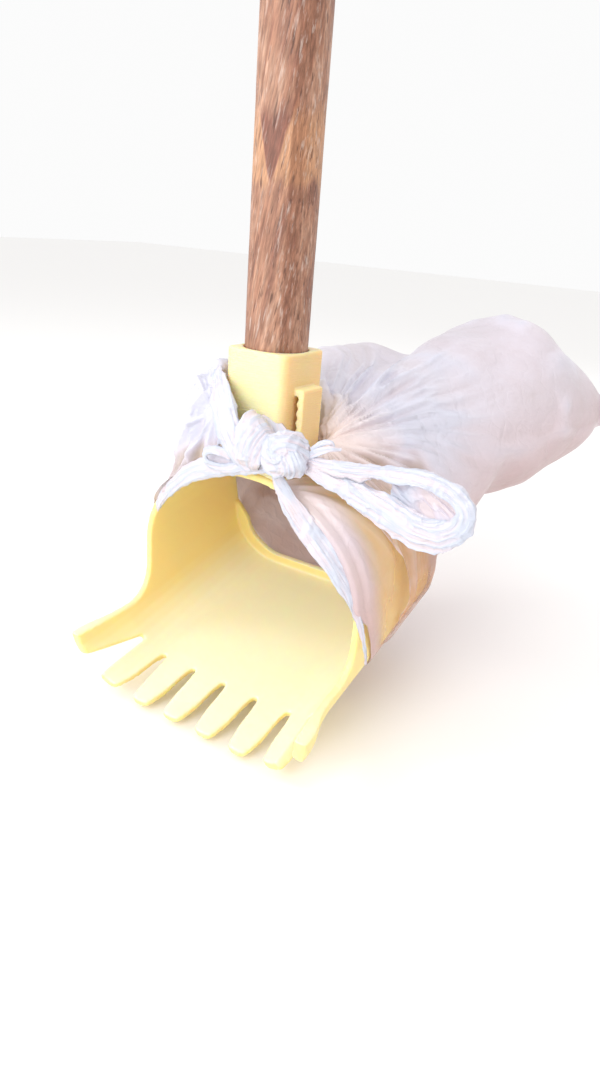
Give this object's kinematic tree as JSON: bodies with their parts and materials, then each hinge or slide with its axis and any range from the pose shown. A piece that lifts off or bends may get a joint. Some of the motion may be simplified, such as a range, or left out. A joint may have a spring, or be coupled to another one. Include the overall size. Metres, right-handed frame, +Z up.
{
  "type": "pole-mounted scoop rake with catch bag",
  "caption": "Small printed scoop with rake tines and an open-backed hood, pushed onto a wooden pole, with a thin plastic bag knotted on behind to catch what is scooped.",
  "frame": {"origin": "middle of the pole's flat top end, where a hand or a clip holds it", "axes": "+Z up along the pole, away from the scoop; -Y forward, the way the tines point; +X to the right seen from behind the tool"},
  "size_m": [0.1595, 0.2617, 0.7134],
  "materials": {
    "pole_wood": "satin",
    "printed_plastic": "satin",
    "bag_film": "satin",
    "knotted_film": "satin"
  },
  "bodies": {
    "pole": {"pole": "pole_wood"},
    "head": {"pole_socket": "printed_plastic", "scoop": "printed_plastic", "bag_collar": "bag_film", "bag_left_wing": "bag_film", "bag_right_wing": "bag_film", "bag_left_handle": "bag_film", "bag_right_handle": "bag_film", "bag_half_knot": "knotted_film", "bag_short_loop": "knotted_film", "bag_knot": "knotted_film"},
    "bag": {"bag_belly": "bag_film"},
    "bow": {"bag_bow_loop": "knotted_film"}
  },
  "joints": [
    {"name": "head_pull_off", "type": "slide", "parent": "pole", "child": "head", "axis": [0, 0, -1], "range_m": [0, 0.045]},
    {"name": "bag_droop", "type": "hinge", "parent": "head", "child": "bag", "pos_m": [0, 0.06229, -0.68956], "axis": [-1, 0, 0], "range_deg": [0, 18]},
    {"name": "bow_swing", "type": "hinge", "parent": "head", "child": "bow", "pos_m": [0.033, -0.021, -0.597], "axis": [0, 1, 0], "range_deg": [-15, 30]}
  ]
}
